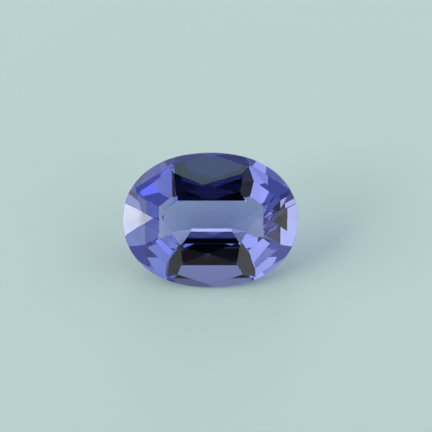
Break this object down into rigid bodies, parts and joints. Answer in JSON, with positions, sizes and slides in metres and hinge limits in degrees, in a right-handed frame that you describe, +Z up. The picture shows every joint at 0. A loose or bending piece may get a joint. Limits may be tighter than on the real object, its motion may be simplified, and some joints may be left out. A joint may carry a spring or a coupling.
{
  "type": "faceted oval tanzanite",
  "caption": "Cut and polished oval violet-blue gem, with a brilliant crown and a stepped pavilion, lying on a pavilion facet.",
  "frame": {"origin": "middle of the bounding box, on the surface the stone lies on", "axes": "+Z up, +X along the stone's long axis, -Y the way the table leans"},
  "size_m": [0.009, 0.0048, 0.0053],
  "materials": {
    "tanzanite": "polished"
  },
  "bodies": {
    "root": {"oval_tanzanite": "tanzanite"}
  },
  "joints": []
}
